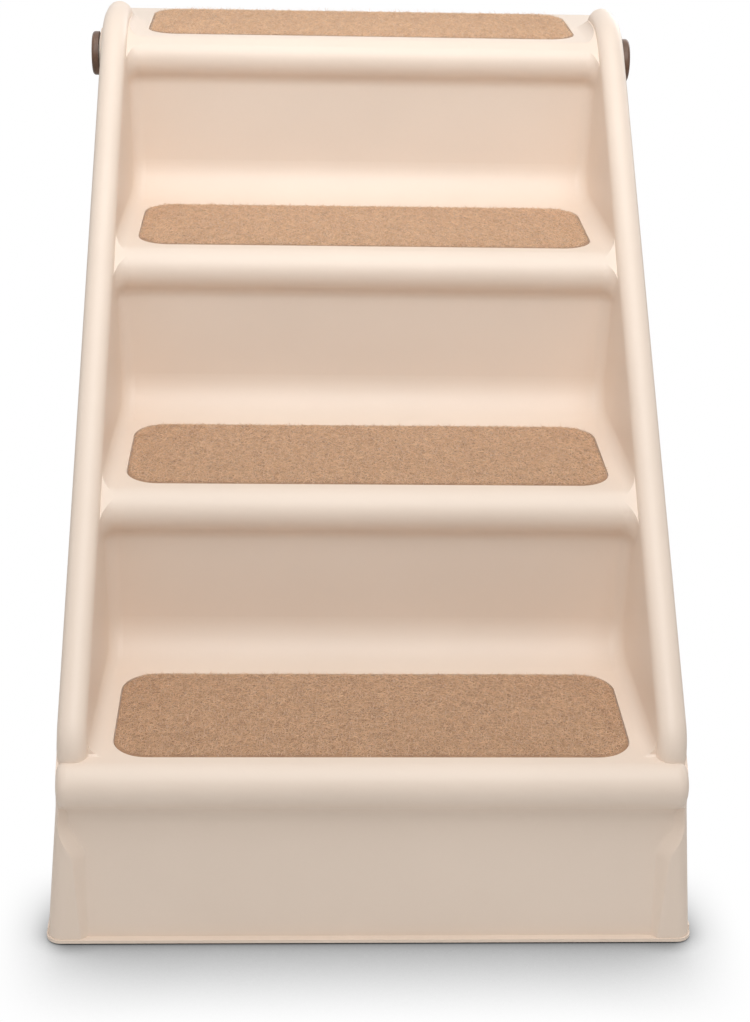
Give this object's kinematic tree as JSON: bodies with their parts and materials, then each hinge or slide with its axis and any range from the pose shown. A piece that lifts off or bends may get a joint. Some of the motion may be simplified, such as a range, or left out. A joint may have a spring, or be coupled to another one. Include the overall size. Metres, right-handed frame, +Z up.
{
  "type": "folding pet stairs",
  "caption": "Free-standing moulded pet stairs with raised side rails, felt pads in the treads and a rear leg frame that folds under the steps on two round pivots.",
  "frame": {"origin": "centre of the footprint's bounding box, on the floor", "axes": "+X to the right seen from the front, +Y from the front to the back, +Z up"},
  "size_m": [0.4146, 0.608, 0.505],
  "materials": {
    "stair_plastic": "fine satin moulded surface",
    "leg_plastic": "fine satin moulded surface",
    "carpet": "short felt-like pile",
    "knob_plastic": "smooth satin",
    "bush_plastic": "smooth, low friction",
    "screw_steel": "zinc plated",
    "tube_steel": "powder coated",
    "bolt_steel": "zinc plated",
    "foot_rubber": "soft, non-slip"
  },
  "bodies": {
    "stairs": {"stair_shell": "stair_plastic", "tread_carpet_1": "carpet", "tread_carpet_2": "carpet", "tread_carpet_3": "carpet", "tread_carpet_4": "carpet", "pivot_bush_left": "bush_plastic", "pivot_bush_right": "bush_plastic", "pivot_washer_left": "bush_plastic", "pivot_washer_right": "bush_plastic", "stop_pad_left": "foot_rubber", "stop_pad_right": "foot_rubber", "base_foot_left": "foot_rubber", "base_foot_right": "foot_rubber", "base_foot_screws": "screw_steel"},
    "leg": {"rear_leg": "leg_plastic", "cross_tube": "tube_steel", "pivot_knob_left": "knob_plastic", "pivot_knob_right": "knob_plastic", "pivot_screw_left": "screw_steel", "pivot_screw_right": "screw_steel", "leg_foot_left": "foot_rubber", "leg_foot_right": "foot_rubber", "leg_foot_screws": "screw_steel"},
    "lock_bolt_left": {"lock_bolt_left": "bolt_steel", "bolt_tab_left": "knob_plastic"},
    "lock_bolt_right": {"lock_bolt_right": "bolt_steel", "bolt_tab_right": "knob_plastic"}
  },
  "joints": [
    {"name": "leg_fold", "type": "hinge", "parent": "stairs", "child": "leg", "pos_m": [0, 0.198, 0.468], "axis": [1, 0, 0], "range_deg": [-51.5, 0]},
    {"name": "lock_slide_left", "type": "slide", "parent": "leg", "child": "lock_bolt_left", "axis": [-1, 0, 0], "range_m": [0, 0.013]},
    {"name": "lock_slide_right", "type": "slide", "parent": "leg", "child": "lock_bolt_right", "axis": [1, 0, 0], "range_m": [0, 0.013]}
  ]
}
